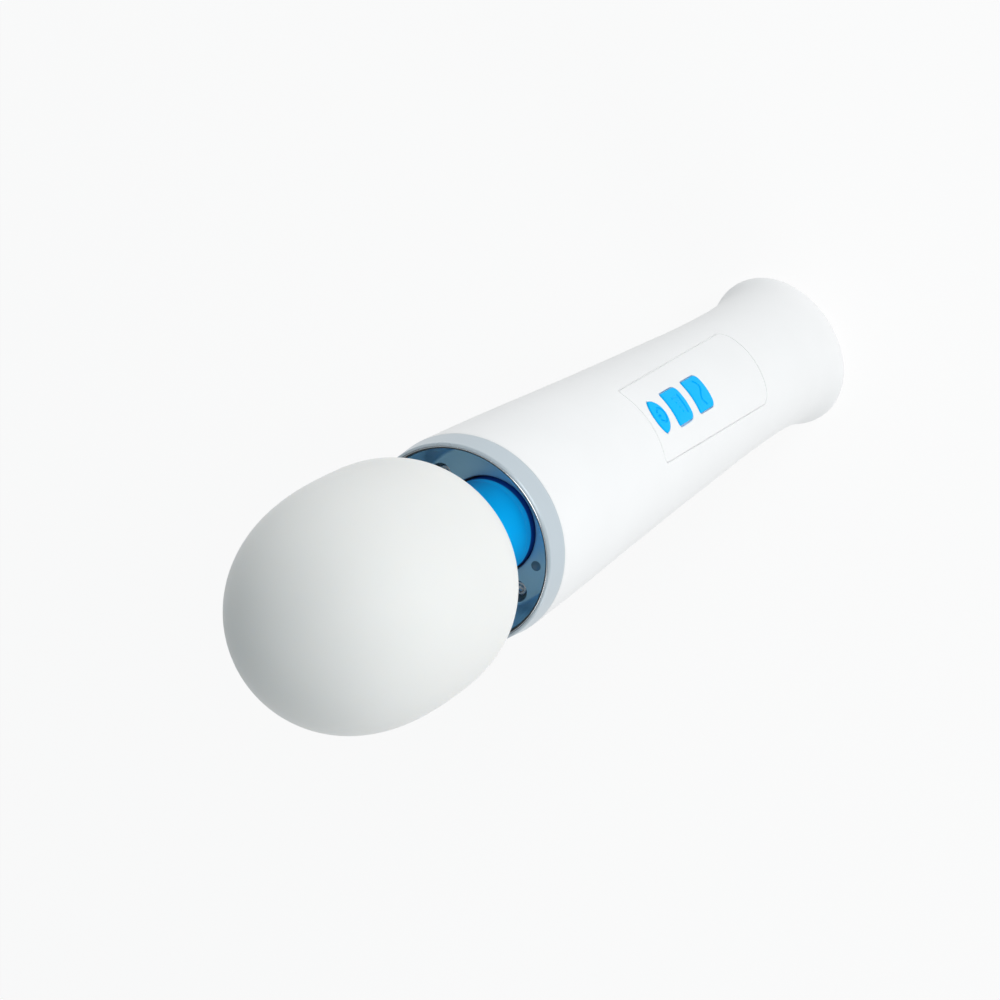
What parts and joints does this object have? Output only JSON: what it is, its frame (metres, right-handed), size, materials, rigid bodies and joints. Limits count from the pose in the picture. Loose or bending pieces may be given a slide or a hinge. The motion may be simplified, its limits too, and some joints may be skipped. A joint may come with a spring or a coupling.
{
  "type": "handheld wand massager",
  "caption": "Cordless wand massager: long waisted handle with push buttons, a metal-lined mouth, a flexing neck and a round vibrating head.",
  "frame": {"origin": "centre of the base's flat underside", "axes": "+Z along the wand from the base to the head; -Y is the side with the control panel"},
  "size_m": [0.0658, 0.0658, 0.341],
  "materials": {
    "shell_white": "satin",
    "collar_pale": "satin",
    "cup_chrome": "polished",
    "silicone_white": "matte",
    "silicone_blue": "satin",
    "silicone_navy": "satin",
    "button_blue": "satin",
    "screw_steel": "satin",
    "foot_grey": "matte",
    "contact_gold": "polished",
    "frame_grey": "matte",
    "board_green": "satin",
    "switch_black": "gloss",
    "cell_wrap": "gloss",
    "motor_steel": "satin",
    "bearing_steel": "polished",
    "weight_brass": "machined",
    "core_black": "matte",
    "housing_grey": "matte"
  },
  "bodies": {
    "handle": {"handle_shell": "shell_white", "control_panel": "shell_white", "front_collar": "collar_pale", "front_cup": "cup_chrome", "cup_screw_left": "screw_steel", "cup_screw_right": "screw_steel", "switch_power": "switch_black", "switch_mode": "switch_black", "switch_speed": "switch_black", "neck_seal_ring": "silicone_navy", "motor_mount": "frame_grey", "motor_can": "motor_steel", "motor_screw_front": "screw_steel", "motor_screw_back": "screw_steel", "chassis": "frame_grey", "main_board": "board_green", "board_screw_1": "screw_steel", "board_screw_2": "screw_steel", "board_screw_3": "screw_steel", "board_screw_4": "screw_steel", "battery_cell_left": "cell_wrap", "battery_cell_right": "cell_wrap", "battery_bracket_lower": "frame_grey", "battery_bracket_upper": "frame_grey", "base_cap": "shell_white", "foot_ring": "foot_grey", "charge_contact_left": "contact_gold", "charge_contact_right": "contact_gold"},
    "power_button": {"button_power": "button_blue"},
    "mode_button": {"button_mode": "button_blue"},
    "speed_button": {"button_speed": "button_blue"},
    "rotor": {"motor_rotor": "motor_steel", "drive_coupling_lower": "bearing_steel", "drive_shaft_flexible": "core_black"},
    "head": {"neck_core": "core_black", "neck_boot": "silicone_blue", "head_cap": "silicone_white", "head_housing": "housing_grey", "head_base_plate": "housing_grey", "bearing_bridge": "housing_grey", "head_bearing_lower": "bearing_steel", "head_bearing_upper": "bearing_steel"},
    "eccentric": {"eccentric_shaft": "bearing_steel", "eccentric_weight": "weight_brass", "drive_coupling_upper": "bearing_steel", "shaft_clip": "bearing_steel"}
  },
  "joints": [
    {"name": "neck_bend", "type": "hinge", "parent": "handle", "child": "head", "pos_m": [0, 0, 0.251], "axis": [1, 0, 0], "range_deg": [-12, 12], "stiffness_Nm_per_rad": 6, "deforming": ["neck_boot", "neck_core", "drive_shaft_flexible"]},
    {"name": "motor_spin", "type": "hinge", "parent": "handle", "child": "rotor", "pos_m": [0, 0, 0.208], "axis": [0, 0, 1], "continuous": true},
    {"name": "eccentric_spin", "type": "hinge", "parent": "head", "child": "eccentric", "pos_m": [0, 0, 0.295], "axis": [0, 0, 1], "continuous": true},
    {"name": "power_button_press", "type": "slide", "parent": "handle", "child": "power_button", "axis": [0, 1, 0], "range_m": [0, 0.0008], "stiffness_N_per_m": 400},
    {"name": "mode_button_press", "type": "slide", "parent": "handle", "child": "mode_button", "axis": [0, 1, 0], "range_m": [0, 0.0008], "stiffness_N_per_m": 400},
    {"name": "speed_button_press", "type": "slide", "parent": "handle", "child": "speed_button", "axis": [0, 1, 0], "range_m": [0, 0.0008], "stiffness_N_per_m": 400}
  ],
  "couplings": [
    {"joint": "eccentric_spin", "follows": "motor_spin", "ratio": 1}
  ]
}
